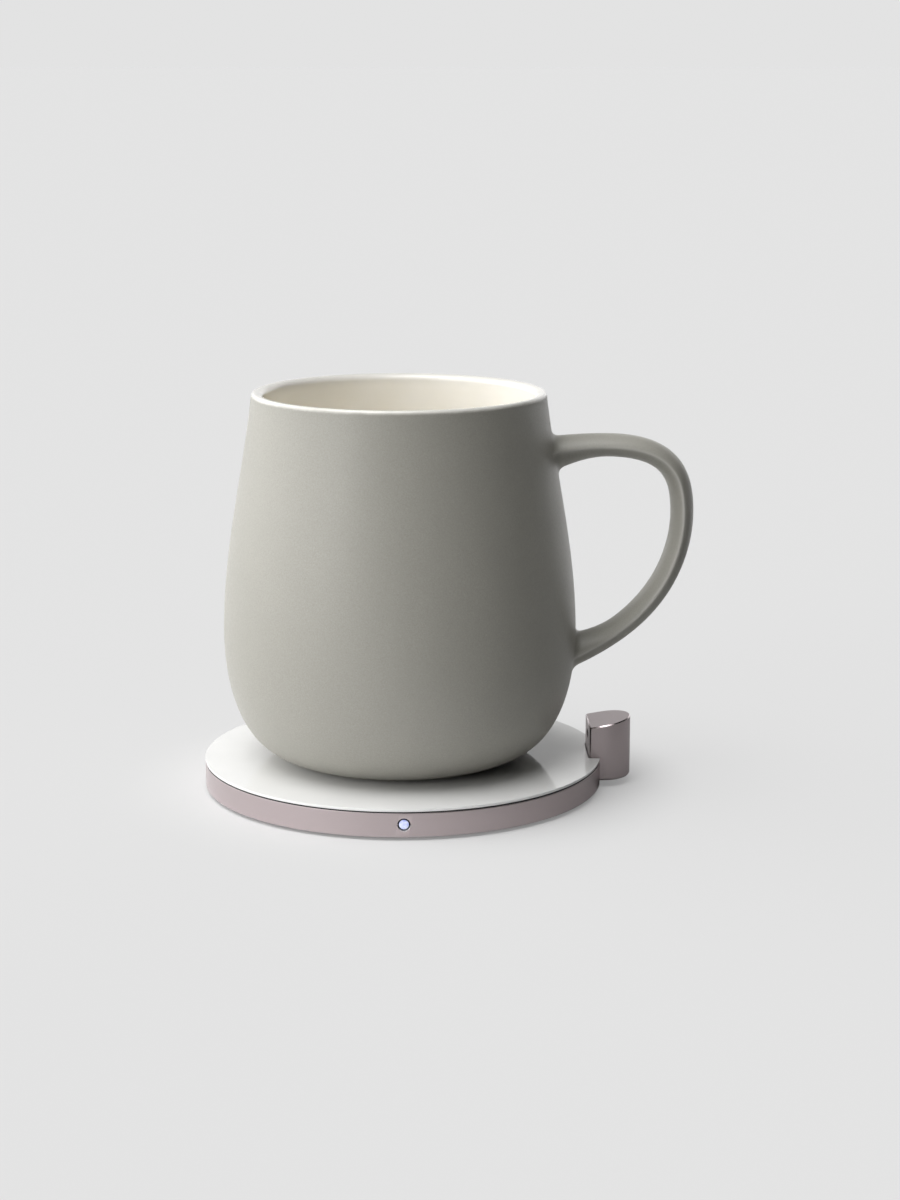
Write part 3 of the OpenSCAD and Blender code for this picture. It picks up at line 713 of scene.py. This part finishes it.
def build_handle():
    """Sweeps the handle's skin between the fillets of its two roots."""
    sides = 40
    rings = 84
    strands = []
    for j in range(sides):
        turn = 2 * math.pi * j / sides
        top, s0 = root_strand(turn, 0)
        low, s1 = root_strand(turn, 1)
        run = [handle_point(s0 + (s1 - s0) * i / rings, turn) for i in range(1, rings)]
        strands.append(top + run + list(reversed(low)))
    work = bmesh.new()
    mark = work.verts.layers.float.new("ridge")
    grid = [[work.verts.new(point) for point in strand] for strand in strands]
    for j in range(sides):
        for point in grid[j]:
            point[mark] = abs(math.sin(2 * math.pi * j / sides)) ** ridge_fade
    for j in range(sides):
        k = (j + 1) % sides
        for i in range(len(grid[0]) - 1):
            work.faces.new((grid[j][i], grid[k][i], grid[k][i + 1], grid[j][i + 1]))
    work.faces.new([grid[j][0] for j in range(sides)])
    work.faces.new([grid[j][-1] for j in reversed(range(sides))])
    bmesh.ops.transform(work, matrix=mug_place, verts=work.verts)
    piece = piece_of("mug_loop_handle", work)
    give(piece, stoneware)
    tidy_mesh(piece, 60.0)
    return piece


mug_loop_handle = build_handle()

post_place = Matrix.Translation((post_x, 0, 0))
along_post = post_place @ Matrix.Rotation(math.radians(90), 4, "Y")
along_y = Matrix.Rotation(math.radians(-90), 4, "X")


def post_outline(more=0.0):
    """The post's D outline with cut corners, flat towards the mug, made larger all round by a margin."""
    least = 0.05 * mm
    half = post_w / 2 + more
    corner = max(post_corner + more * (2 - math.sqrt(2)), least)
    back = arc((post_d - post_w / 2, 0), half, -90, 90, 48)
    left = [(corner - more, half), (-more, half - corner)]
    right = [(-more, corner - half), (corner - more, -half)]
    return back + left + right


def stadium(width, height):
    """A slot's outline with round ends, wider than high."""
    end = height / 2
    straight = width / 2 - end
    return arc((straight, 0), end, -90, 90, 12) + arc((-straight, 0), end, 90, 270, 12)


def circle(radius, steps=48):
    """A round outline."""
    return arc((0, 0), radius, 0, 360 * (steps - 1) / steps, steps - 1)


def build_rim():
    """Turns the rim with its glass shelf, then cuts the button hole, the inlet and the post's seat."""
    edge = rim_edge
    hold = edge_hold
    crisp = rim_top_edge
    outline = [(shelf_r, rim_z1), (pad_r - crisp - hold, rim_z1)]
    outline += arc((pad_r - crisp, rim_z1 - crisp), crisp, 90, 0, 6)
    outline += [(pad_r, rim_z1 - crisp - hold), (pad_r, rim_z0 + edge + hold)]
    outline += arc((pad_r - edge, rim_z0 + edge), edge, 0, -90, 6)
    outline += [(rim_inner_r, rim_z0), (rim_inner_r, rim_z1 - shelf_t), (shelf_r, rim_z1 - shelf_t)]
    outline += [(shelf_r, rim_z1)]
    rim = turned("pad_rim", outline, mauve, 288, Matrix.Identity(4), [rim_shade] * len(outline))
    chord = post_x - seat_depth
    swing = math.degrees(math.acos(chord / (rim_inner_r + hold)))
    segment = arc((0, 0), rim_inner_r + hold, -swing, swing, 24)
    wall = prism("post_seat", segment, rim_z0 + seat_lift, rim_z1 - hold)
    combine(rim, [wall], "UNION")
    seat = prism("seat_cut", post_outline(seat_gap), rim_z0 - mm, rim_z1 + mm, post_place)
    hole = prism(
        "hole_cut", circle(button_hole_r), -pad_r - mm, mm - rim_inner_r,
        Matrix.Translation((0, 0, button_z)) @ along_y,
    )
    slot = prism(
        "slot_cut", stadium(inlet_w + 2 * inlet_gap, inlet_h + 2 * inlet_gap),
        rim_inner_r - mm, pad_r + mm, Matrix.Translation((0, 0, inlet_z)) @ along_y,
    )
    combine(rim, [seat, hole, slot])
    tidy_mesh(rim)
    return rim


pad_rim = build_rim()


def build_glass():
    """Turns the glass with its polished edge and cuts the notch for the post."""
    edge = glass_edge
    low_edge = glass_low_edge
    hold = edge_hold
    top = glass_high.z
    under = glass_low.z
    outline = [(0, under), (pad_r - low_edge - hold, under)]
    outline += arc((pad_r - low_edge, under + low_edge), low_edge, 270, 360, 3)
    outline += arc((pad_r - edge, top - edge), edge, 0, 90, 8)
    outline += [(pad_r - edge - hold, top), (0, top)]
    glass = turned("glass_plate", outline, white_glass, 288, Matrix.Identity(4))
    notch = prism("notch_cut", post_outline(post_gap), under - mm, top + mm, post_place)
    combine(glass, [notch])
    tidy_mesh(glass)
    return glass


glass_plate = build_glass()


def build_gasket():
    """Turns the flat black ring between rim and glass and cuts it at the post."""
    low = rim_z1
    high = glass_low.z
    outline = [(shelf_r, low), (gasket_r, low), (gasket_r, high), (shelf_r, high), (shelf_r, low)]
    ring = turned("gasket_ring", outline, seal, 288, Matrix.Identity(4))
    notch = prism("gasket_cut", post_outline(seat_gap), low - mm, high + mm, post_place)
    combine(ring, [notch])
    tidy_mesh(ring)
    return ring


gasket_ring = build_gasket()


def lofted(name, rings):
    """Skins a stack of equal rings, closes both ends and marks the last band and the corners as cut."""
    work = bmesh.new()
    mark = work.faces.layers.float.new("cut")
    stack = [[work.verts.new(point) for point in ring] for ring in rings]
    count = len(stack[0])
    corners = (count - 4, count - 2)
    work.faces.new(list(reversed(stack[0])))
    work.faces.new(stack[-1])
    for low, high in zip(stack, stack[1:]):
        for i in range(count):
            k = (i + 1) % count
            face = work.faces.new((low[i], low[k], high[k], high[i]))
            face[mark] = 1.0 if high is stack[-1] or i in corners else 0.0
    return piece_of(name, work)


def build_post():
    """The hollow sensor post: D outline, sloping top, bright cut edges, round foot and window slot."""
    def top(point):
        return post_h + point[0] * post_slope

    rings = []
    steps = 5
    for i in range(steps + 1):
        lean = math.radians(90 * i / steps)
        inset = post_foot_round * (1 - math.sin(lean))
        rise = post_foot + post_foot_round * (1 - math.cos(lean))
        rings.append([(x, y, rise) for x, y in post_outline(-inset)])
    rings.append([(x, y, top((x, y)) - post_edge) for x, y in post_outline()])
    rings.append([(x, y, top((x, y))) for x, y in post_outline(-post_edge)])
    post = lofted("sensor_post", rings)
    post.data.transform(post_place)
    half = post_w / 2 - post_wall
    front = post_front_wall
    hollow = [(front, -half)] + arc((post_d - post_w / 2, 0), half, -90, 90, 24) + [(front, half)]
    inside = prism(
        "post_hollow", hollow, post_foot - mm, lambda point: top(point) - post_wall, post_place,
    )
    slot = prism(
        "window_cut", [(y, x) for x, y in stadium(window_w, window_h)], -mm, front + mm,
        Matrix.Translation((0, 0, window_z)) @ along_post,
    )
    combine(post, [inside, slot])
    give(post, mauve)
    tidy_mesh(post)
    return post


sensor_post = build_post()


def build_window():
    """The dark window in the post's flat face, with a raised frame and a lip behind the wall."""
    place = Matrix.Translation((0, 0, window_z)) @ along_post
    inset = 0.1 * mm
    play = 0.2 * mm
    lip = 1 * mm
    lip_back = 0.6 * mm
    sunk = 0.5 * mm
    frame_w = 0.5 * mm

    def bar(name, less, start, end):
        upright = [(y, x) for x, y in stadium(window_w - less, window_h - less)]
        return prism(name, upright, start, end, place)

    window = bar("dark_window", play, inset, post_front_wall + play)
    combine(window, [bar("lip_bar", play - lip, post_front_wall, post_front_wall + lip_back)], "UNION")
    combine(window, [bar("frame_cut", play + frame_w, -mm, inset + sunk)])
    give(window, smoked)
    tidy_mesh(window)
    return window


dark_window = build_window()


def build_button():
    """The lit button: a domed lens, its collar behind the rim and its pin to the switch."""
    dome = 0.16 * mm
    dome_r = button_r * 0.84
    edge = 0.22 * mm
    edge_z = dome + edge * 1.02
    collar = 2.35 * mm
    collar_t = 0.8 * mm
    collar_r = 2.05 * mm
    pin_r = 0.6 * mm
    depth = button_high.y - button_low.y
    steps = 8
    face = [(dome_r * i / steps, dome * (i / steps) ** 2) for i in range(steps + 1)]
    face += arc((button_r - edge, edge_z), edge, -70, 0, 5)
    bands = [1.0] * (len(face) - 3) + [0.6, 0.2, 0.0]
    stem = [
        (button_r, collar), (collar_r, collar), (collar_r, collar + collar_t),
        (pin_r, collar + collar_t), (pin_r, depth), (0, depth),
    ]
    place = Matrix.Translation((0, button_low.y, button_z)) @ along_y
    return turned("lit_button", face + stem, lit_lens, 64, place, bands + [0.0] * len(stem))


lit_button = build_button()


def dotted_tree():
    """The rule of the grip disc: low dots spread evenly over its underside."""
    tree, given = new_tree(
        "dotted_grip", Count="Int", Spacing="Float", Dot="Float", Proud="Float", Level="Float",
    )
    taper = 0.62
    golden_turn = math.pi * (3 - math.sqrt(5))
    index = tree.nodes.new("GeometryNodeInputIndex").outputs[0]
    root = sum_of(tree, "SQRT", sum_of(tree, "ADD", index, 0.5))
    reach = sum_of(tree, "MULTIPLY", root, given["Spacing"])
    turn = sum_of(tree, "MULTIPLY", index, golden_turn)
    place = add(tree, "ShaderNodeCombineXYZ", {
        0: sum_of(tree, "MULTIPLY", reach, sum_of(tree, "COSINE", turn)),
        1: sum_of(tree, "MULTIPLY", reach, sum_of(tree, "SINE", turn)),
        2: given["Level"],
    }).outputs[0]
    spots = add(tree, "GeometryNodePoints", {"Count": given["Count"], "Position": place}).outputs[0]
    dot = add(tree, "GeometryNodeMeshCone", {
        "Vertices": 12, "Radius Top": given["Dot"],
        "Radius Bottom": sum_of(tree, "MULTIPLY", given["Dot"], taper), "Depth": given["Proud"],
    }).outputs["Mesh"]
    dots = add(tree, "GeometryNodeInstanceOnPoints", {"Points": spots, "Instance": dot}).outputs[0]
    both = tree.nodes.new("GeometryNodeJoinGeometry")
    tree.links.new(dots, both.inputs[0])
    tree.links.new(given["Form"], both.inputs[0])
    close_tree(tree, given, both.outputs[0])
    return tree


def build_grip():
    """The silicone disc under the pad, with a rounded edge and a dotted underside."""
    radius = grip_high.y
    dot_h = 0.3 * mm
    edge = 0.3 * mm
    under = grip_low.z + dot_h
    outline = [(0, under)] + arc((radius - edge, under + edge), edge, 270, 360, 4)
    outline += [(radius, grip_high.z), (0, grip_high.z)]
    grip = turned("grip_disc", outline, rubber, 128, Matrix.Identity(4))
    grow(
        grip, dotted_tree(), Count=460, Spacing=2.04 * mm, Dot=0.95 * mm, Proud=dot_h,
        Level=grip_low.z, Finish=rubber,
    )
    tidy_mesh(grip)
    return grip


grip_disc = build_grip()


def winding_tree():
    """The rule of the coil: a flat spiral with a round strand."""
    tree, given = new_tree(
        "wound_coil", Turns="Float", Inner="Float", Outer="Float", Strand="Float", Level="Float",
    )
    path = add(tree, "GeometryNodeCurveSpiral", {
        "Resolution": 40, "Rotations": given["Turns"], "Start Radius": given["Inner"],
        "End Radius": given["Outer"], "Height": 0.0, "Reverse": True,
    }).outputs[0]
    lift = add(tree, "ShaderNodeCombineXYZ", {2: given["Level"]}).outputs[0]
    raised = add(tree, "GeometryNodeSetPosition", {"Geometry": path, "Offset": lift}).outputs[0]
    section = add(
        tree, "GeometryNodeCurvePrimitiveCircle", {"Resolution": 8, "Radius": given["Strand"]},
    ).outputs["Curve"]
    strand = add(
        tree, "GeometryNodeCurveToMesh",
        {"Curve": raised, "Profile Curve": section, "Fill Caps": True},
    )
    close_tree(tree, given, strand.outputs[0])
    return tree


coil_winding = piece_of("coil_winding", bmesh.new())
grow(
    coil_winding, winding_tree(), Turns=12.0, Inner=9 * mm, Outer=27 * mm, Strand=0.52 * mm,
    Level=(coil_low.z + coil_high.z) / 2, Finish=strand_copper,
)
tidy_mesh(coil_winding, 50.0)


def contact_tree():
    """The rule of the inlet's contacts: a row of strips on each face of the tongue."""
    tree, given = new_tree(
        "contact_rows", Count="Int", Pitch="Float", Strip="Vector", First="Vector", Rise="Float",
    )
    step = add(tree, "ShaderNodeCombineXYZ", {0: given["Pitch"]}).outputs[0]
    row = add(
        tree, "GeometryNodeMeshLine",
        {"Count": given["Count"], "Start Location": given["First"], "Offset": step},
    )
    strip = add(tree, "GeometryNodeMeshCube", {"Size": given["Strip"]}).outputs["Mesh"]
    over = add(
        tree, "GeometryNodeInstanceOnPoints", {"Points": row.outputs[0], "Instance": strip},
    ).outputs[0]
    drop = add(tree, "ShaderNodeCombineXYZ", {2: given["Rise"]}).outputs[0]
    below = add(tree, "GeometryNodeTransform", {"Geometry": over, "Translation": drop}).outputs[0]
    both = tree.nodes.new("GeometryNodeJoinGeometry")
    tree.links.new(over, both.inputs[0])
    tree.links.new(below, both.inputs[0])
    close_tree(tree, given, both.outputs[0])
    return tree


contact_count = 12
contact_pitch = 0.5 * mm
contact_x = -contact_pitch * (contact_count - 1) / 2
contact_y = (tongue_low.y + tongue_high.y) / 2 + 0.3 * mm
inlet_contacts = piece_of("inlet_contacts", bmesh.new())
grow(
    inlet_contacts, contact_tree(), Count=contact_count, Pitch=contact_pitch,
    Strip=(0.26 * mm, 3.6 * mm, 0.06 * mm), First=(contact_x, contact_y, tongue_high.z),
    Rise=tongue_low.z - tongue_high.z, Finish=gilt,
)
tidy_mesh(inlet_contacts)


def screw_tree():
    """The rule of the cover's screws: a ring of flat heads with a crossed slot, shanks upwards."""
    tree, given = new_tree(
        "screw_ring", Count="Int", Ring="Float", Head="Float", Shank="Float", Depth="Float",
        Length="Float", Level="Float",
    )
    blade_share = 0.22
    half_head = sum_of(tree, "MULTIPLY", given["Depth"], 0.5)
    half_shank = sum_of(tree, "MULTIPLY", given["Length"], 0.5)
    head = add(
        tree, "GeometryNodeMeshCylinder",
        {"Vertices": 32, "Radius": given["Head"], "Depth": given["Depth"]},
    ).outputs["Mesh"]
    blade = (given["Head"], sum_of(tree, "MULTIPLY", given["Head"], blade_share), given["Depth"])
    cross = []
    for first, second in ((0, 1), (1, 0)):
        size = add(
            tree, "ShaderNodeCombineXYZ", {0: blade[first], 1: blade[second], 2: blade[2]},
        ).outputs[0]
        cross.append(add(tree, "GeometryNodeMeshCube", {"Size": size}).outputs["Mesh"])
    drop = sum_of(tree, "MULTIPLY", given["Depth"], -0.5)
    sunk = add(tree, "ShaderNodeCombineXYZ", {2: drop}).outputs[0]
    cut = tree.nodes.new("GeometryNodeMeshBoolean")
    cut.operation = "DIFFERENCE"
    tree.links.new(head, cut.inputs["Mesh 1"])
    for bar in cross:
        moved = add(tree, "GeometryNodeTransform", {"Geometry": bar, "Translation": sunk}).outputs[0]
        tree.links.new(moved, cut.inputs["Mesh 2"])
    shank = add(
        tree, "GeometryNodeMeshCylinder",
        {"Vertices": 24, "Radius": given["Shank"], "Depth": given["Length"]},
    ).outputs["Mesh"]
    lift = add(tree, "ShaderNodeCombineXYZ", {2: sum_of(tree, "ADD", half_head, half_shank)}).outputs[0]
    raised = add(tree, "GeometryNodeTransform", {"Geometry": shank, "Translation": lift}).outputs[0]
    screw = tree.nodes.new("GeometryNodeJoinGeometry")
    tree.links.new(raised, screw.inputs[0])
    tree.links.new(cut.outputs["Mesh"], screw.inputs[0])
    ring = add(
        tree, "GeometryNodeMeshCircle", {"Vertices": given["Count"], "Radius": given["Ring"]},
    ).outputs[0]
    level = sum_of(tree, "ADD", given["Level"], half_head)
    up = add(tree, "ShaderNodeCombineXYZ", {2: level}).outputs[0]
    quarter = add(
        tree, "GeometryNodeTransform",
        {"Geometry": ring, "Rotation": (0.0, 0.0, math.radians(45)), "Translation": up},
    ).outputs[0]
    placed = add(
        tree, "GeometryNodeInstanceOnPoints", {"Points": quarter, "Instance": screw.outputs[0]},
    ).outputs[0]
    close_tree(tree, given, placed)
    return tree


cross_screws = piece_of("cross_screws", bmesh.new())
screw_head_t = 0.7 * mm
screw_reach = screw_high.z - screw_low.z
grow(
    cross_screws, screw_tree(), Count=4, Ring=44 * mm, Head=1.8 * mm, Shank=0.8 * mm,
    Depth=screw_head_t, Length=screw_reach - screw_head_t, Level=screw_low.z, Finish=screw_plate,
)
tidy_mesh(cross_screws)

# Each made piece with its body, its slot and the node that it stands for
dressed = [
    (mug_body, "mug", "stoneware", "mug_vessel"),
    (mug_loop_handle, "mug", "stoneware", "mug_handle"),
    (pad_rim, "pad", "mauve_metal", "rim_frame"),
    (glass_plate, "pad", "white_glass", "glass_top"),
    (gasket_ring, "pad", "black_seal", "glass_gasket"),
    (sensor_post, "pad", "mauve_metal", "post_shell"),
    (dark_window, "pad", "window_black", "sensor_window"),
    (lit_button, "button", "lit_lens", "power_button"),
    (grip_disc, "pad", "silicone", "non_slip_pad"),
    (coil_winding, "pad", "copper", "transmitter_coil"),
    (cross_screws, "pad", "screw_steel", "cover_screws"),
    (inlet_contacts, "pad", "socket_metal", None),
]
for piece, body, finish_slot, stands_for in dressed:
    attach(piece, body)
    if stands_for:
        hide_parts(stands_for)

# Floor paper: what it shows, and what it gives back from one place to another, in metres and shares
backdrop_grey = 0.767
floor_grey = 0.66
near_light = (-0.01, 0.085, 0.88, 0.43)
side_light = (-0.08, 0.08, 0.80, 0.22)
back_light = (0.05, 0.22, 0.16, 0.85)
far_from_pad = (0.09, 0.17, 0.0, 1.0)
even_paper = (0.051, 0.080, 0.30, 0.82)

# Soft lights: turn from the front to the left, rise and spread in degrees, and strength
studio_lobes = [
    (70, 16, 38, 2.45),
    (112, 16, 40, 3.06),
    (90, 50, 50, 0.40),
    (152, 8, 34, 0.80),
    (206, 6, 34, 1.40),
    (56, 74, 30, 7.30),
    (44, 18, 18, 4.40),
]
lobe_core = math.cos(math.radians(5))
# The pale wall behind the mug that metal and glass show: direction, edge, core and strength
pale_wall = ((0.0, 1.0, 0.0), 0.2, 0.75, 0.40)


def build_floor():
    """A wide pale floor that keeps the pad's shadow and gives less light back on the dark side."""
    reach = 60.0
    work = bmesh.new()
    bmesh.ops.create_grid(work, x_segments=1, y_segments=1, size=reach)
    floor = piece_of("studio_floor", work)
    finish, tree, shader, spot = new_finish("floor_paper")
    away = add(tree, "ShaderNodeVectorMath", {0: spot}, operation="LENGTH").outputs["Value"]
    across, behind = add(tree, "ShaderNodeSeparateXYZ", {0: spot}).outputs[:2]
    seen = tree.nodes.new("ShaderNodeLightPath").outputs["Is Camera Ray"]
    near = ranged(tree, across, *near_light, smooth=True)
    far = ranged(tree, away, *far_from_pad, smooth=True)
    side = ranged(tree, across, *side_light, smooth=True)
    wide = sum_of(tree, "MAXIMUM", side, ranged(tree, behind, *back_light, smooth=True))
    given_back = between(tree, far, near, wide)
    colour = between(tree, seen, given_back, (floor_grey,) * 3)
    feed(tree, shader, Base_Color=colour, Roughness=1.0, Specular_IOR_Level=0.0)
    paper = add(tree, "ShaderNodeEmission", {"Color": (*(backdrop_grey,) * 3, 1.0)})
    share = sum_of(tree, "MULTIPLY", seen, ranged(tree, away, *even_paper, smooth=True))
    mixed = add(tree, "ShaderNodeMixShader", {0: share, 1: shader.outputs[0], 2: paper.outputs[0]})
    tree.links.new(mixed.outputs[0], tree.nodes["Material Output"].inputs["Surface"])
    give(floor, finish)


build_floor()


def build_light():
    """A room with a tall soft window to the left, pale behind the mug and dark to its right."""
    world = bpy.data.worlds.new("studio")
    world.use_nodes = True
    bpy.context.scene.world = world
    tree = world.node_tree
    tree.nodes.clear()
    ray = tree.nodes.new("ShaderNodeTexCoord").outputs["Generated"]

    def lobe(towards, edge, core, strength):
        lean = add(tree, "ShaderNodeVectorMath", {0: ray, 1: towards}, operation="DOT_PRODUCT")
        return ranged(tree, lean.outputs["Value"], edge, core, 0.0, strength, smooth=True)

    room = 0.0
    for azimuth, elevation, spread, strength in studio_lobes:
        turn = math.radians(azimuth)
        rise = math.radians(elevation)
        level = math.cos(rise)
        towards = (-math.sin(turn) * level, -math.cos(turn) * level, math.sin(rise))
        edge = math.cos(math.radians(spread))
        room = sum_of(tree, "ADD", lobe(towards, edge, lobe_core, strength), room)
    path = tree.nodes.new("ShaderNodeLightPath").outputs
    mirrored = sum_of(tree, "MULTIPLY", path["Is Glossy Ray"], lobe(*pale_wall))
    glow = add(tree, "ShaderNodeBackground", {"Strength": sum_of(tree, "ADD", room, mirrored)})
    seen = sum_of(tree, "MAXIMUM", path["Is Camera Ray"], path["Is Transmission Ray"])
    shown = add(tree, "ShaderNodeBackground", {"Color": (*(backdrop_grey,) * 3, 1.0)})
    mixed = add(tree, "ShaderNodeMixShader", {0: seen, 1: glow.outputs[0], 2: shown.outputs[0]})
    add(tree, "ShaderNodeOutputWorld", {"Surface": mixed.outputs[0]})


build_light()


def build_camera():
    """The photograph's view."""
    lens = bpy.data.cameras.new("photo_view")
    lens.sensor_fit = "VERTICAL"
    lens.sensor_height = 36.0
    lens.lens = 74.28
    lens.clip_end = 200.0
    camera = bpy.data.objects.new("photo_view", lens)
    camera.location = (-0.0012, -0.6371, 0.1884)
    camera.rotation_euler = (math.radians(77.69), 0.0, math.radians(-1.23))
    bpy.context.scene.collection.objects.link(camera)
    bpy.context.scene.camera = camera


build_camera()
bpy.context.scene.view_settings.view_transform = "Standard"
# Light goes to and fro many times inside the pale mug
bpy.context.scene.cycles.max_bounces = 24
bpy.context.scene.cycles.diffuse_bounces = 24
